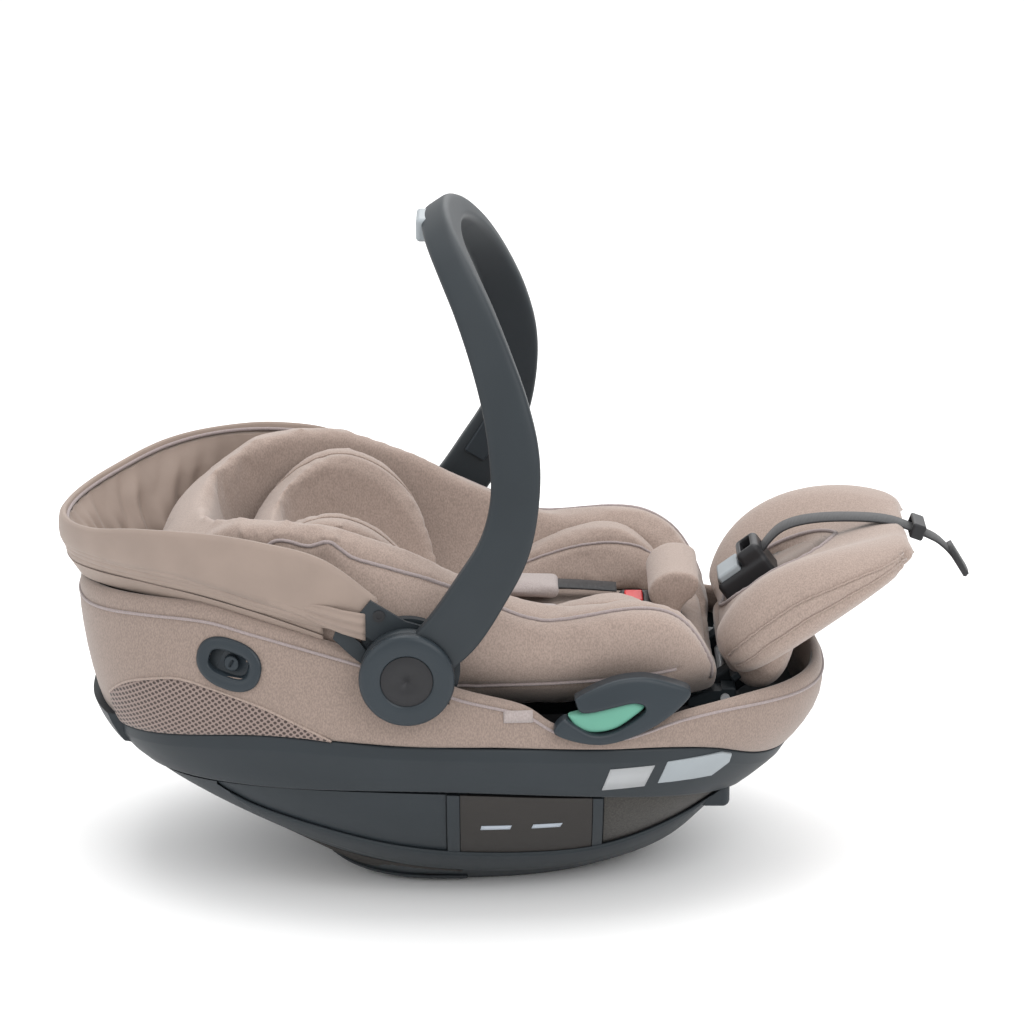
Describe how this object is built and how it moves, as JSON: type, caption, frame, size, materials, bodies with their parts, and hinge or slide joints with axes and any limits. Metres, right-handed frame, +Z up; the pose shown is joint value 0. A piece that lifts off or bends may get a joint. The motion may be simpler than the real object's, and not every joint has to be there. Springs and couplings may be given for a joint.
{
  "type": "infant car seat",
  "caption": "Lie-flat infant car seat: boat-shaped shell on a flat skid, swinging carry handle, folding canopy, reclining padded bucket, sliding headrest and leg rest.",
  "frame": {"origin": "on the floor, at the middle of the carrier's length and width, the loose strap left out", "axes": "+X from the head end to the foot end, +Y to the carrier's left, +Z up"},
  "size_m": [0.7807, 0.444, 0.5705],
  "materials": {
    "slate_plastic": "fine grained, matt",
    "black_plastic": "satin",
    "brown_plastic": "fine grained, matt",
    "lining_cloth": "woven",
    "shell_cloth": "melange knit",
    "mesh_cloth": "spacer mesh",
    "grey_cloth": "plain knit",
    "canopy_cloth": "plain woven",
    "foam": "beaded foam",
    "steel": "zinc plated",
    "green_plastic": "satin",
    "grey_plastic": "satin",
    "red_plastic": "satin",
    "black_webbing": "flat woven",
    "black_cloth": "stitched tape"
  },
  "bodies": {
    "carrier": {"base_skid": "slate_plastic", "rim_band": "slate_plastic", "head_bumper": "slate_plastic", "panel_posts": "slate_plastic", "stroller_lugs": "slate_plastic", "hub_mounts": "slate_plastic", "belt_guide_left": "slate_plastic", "belt_guide_right": "slate_plastic", "impact_socket_left": "slate_plastic", "impact_socket_right": "slate_plastic", "carrier_shell": "slate_plastic", "socket_studs": "black_plastic", "reflector_panels": "brown_plastic", "instruction_panels": "brown_plastic", "foam_inserts": "lining_cloth", "shell_cover": "shell_cloth", "mesh_panels": "mesh_cloth", "foam_liner": "foam", "pivot_bolts": "steel", "recline_pins": "steel", "docking_bars": "steel", "belt_guide_tongues": "green_plastic"},
    "handle": {"handle_arch": "slate_plastic", "hub_caps": "slate_plastic", "hub_badges": "black_plastic"},
    "grip_button": {"handle_button": "grey_plastic"},
    "lock_button_left": {"handle_lock_button_left": "grey_plastic"},
    "lock_button_right": {"handle_lock_button_right": "grey_plastic"},
    "canopy_middle": {"canopy_middle_bracket_left": "slate_plastic", "canopy_middle_bracket_right": "slate_plastic", "canopy_fold_fabric": "canopy_cloth"},
    "canopy_front": {"canopy_front_bracket_left": "slate_plastic", "canopy_front_bracket_right": "slate_plastic", "canopy_front_fabric": "canopy_cloth", "canopy_snaps": "black_plastic"},
    "seat": {"bucket_pad": "shell_cloth", "seat_frame": "slate_plastic", "seat_cushion": "shell_cloth", "hip_cushion_left": "shell_cloth", "hip_cushion_right": "shell_cloth", "shoulder_pad_left": "grey_cloth", "shoulder_pad_right": "grey_cloth", "shoulder_strap_left": "black_webbing", "shoulder_strap_right": "black_webbing", "harness_buckle": "black_plastic", "crotch_pad": "shell_cloth", "crotch_strap": "black_webbing"},
    "headrest": {"head_cushion": "shell_cloth", "headrest_slider": "slate_plastic", "head_pillow": "grey_cloth"},
    "buckle_release": {"buckle_button": "red_plastic"},
    "leg_rest": {"leg_pad": "shell_cloth", "leg_frame": "slate_plastic", "leg_hinge_pin": "steel", "adjuster_housing": "slate_plastic", "adjuster_strap": "black_webbing", "strap_keeper": "black_cloth"},
    "strap_release": {"adjuster_button": "grey_plastic"},
    "lever_left": {"release_lever_left": "grey_plastic"},
    "lever_right": {"release_lever_right": "grey_plastic"}
  },
  "joints": [
    {"name": "handle_swing", "type": "hinge", "parent": "carrier", "child": "handle", "pos_m": [-0.065, 0, 0.223], "axis": [0, 1, 0], "range_deg": [-105, 0]},
    {"name": "grip_button_press", "type": "slide", "parent": "handle", "child": "grip_button", "axis": [1, 0, 0], "range_m": [0, 0.004], "stiffness_N_per_m": 600},
    {"name": "lock_button_left_press", "type": "slide", "parent": "handle", "child": "lock_button_left", "axis": [0, 1, 0], "range_m": [0, 0.003], "stiffness_N_per_m": 800},
    {"name": "lock_button_right_press", "type": "slide", "parent": "handle", "child": "lock_button_right", "axis": [0, -1, 0], "range_m": [0, 0.003], "stiffness_N_per_m": 800},
    {"name": "canopy_middle_fold", "type": "hinge", "parent": "carrier", "child": "canopy_middle", "pos_m": [-0.065, 0, 0.223], "axis": [0, 1, 0], "range_deg": [0, 50]},
    {"name": "canopy_front_fold", "type": "hinge", "parent": "canopy_middle", "child": "canopy_front", "pos_m": [-0.065, 0, 0.223], "axis": [0, 1, 0], "range_deg": [0, 50]},
    {"name": "seat_recline", "type": "hinge", "parent": "carrier", "child": "seat", "pos_m": [-0.23, 0, 0.2], "axis": [0, 1, 0], "range_deg": [0, 3.2]},
    {"name": "headrest_slide", "type": "slide", "parent": "seat", "child": "headrest", "axis": [-1, 0, 0], "range_m": [-0.008, 0.012]},
    {"name": "buckle_press", "type": "slide", "parent": "seat", "child": "buckle_release", "axis": [0, 0, -1], "range_m": [0, 0.003], "stiffness_N_per_m": 800},
    {"name": "leg_rest_fold", "type": "hinge", "parent": "seat", "child": "leg_rest", "pos_m": [0.202, 0, 0.16], "axis": [0, 1, 0], "range_deg": [-5.3, 0.5]},
    {"name": "strap_release_press", "type": "slide", "parent": "leg_rest", "child": "strap_release", "axis": [0.5948, 0, -0.8039], "range_m": [0, 0.003], "stiffness_N_per_m": 800},
    {"name": "lever_left_press", "type": "slide", "parent": "carrier", "child": "lever_left", "axis": [0, -1, 0], "range_m": [0, 0.003], "stiffness_N_per_m": 800},
    {"name": "lever_right_press", "type": "slide", "parent": "carrier", "child": "lever_right", "axis": [0, 1, 0], "range_m": [0, 0.003], "stiffness_N_per_m": 800}
  ],
  "couplings": [
    {"joint": "canopy_front_fold", "follows": "canopy_middle_fold", "ratio": 1},
    {"joint": "leg_rest_fold", "follows": "seat_recline", "ratio": -1.5}
  ]
}
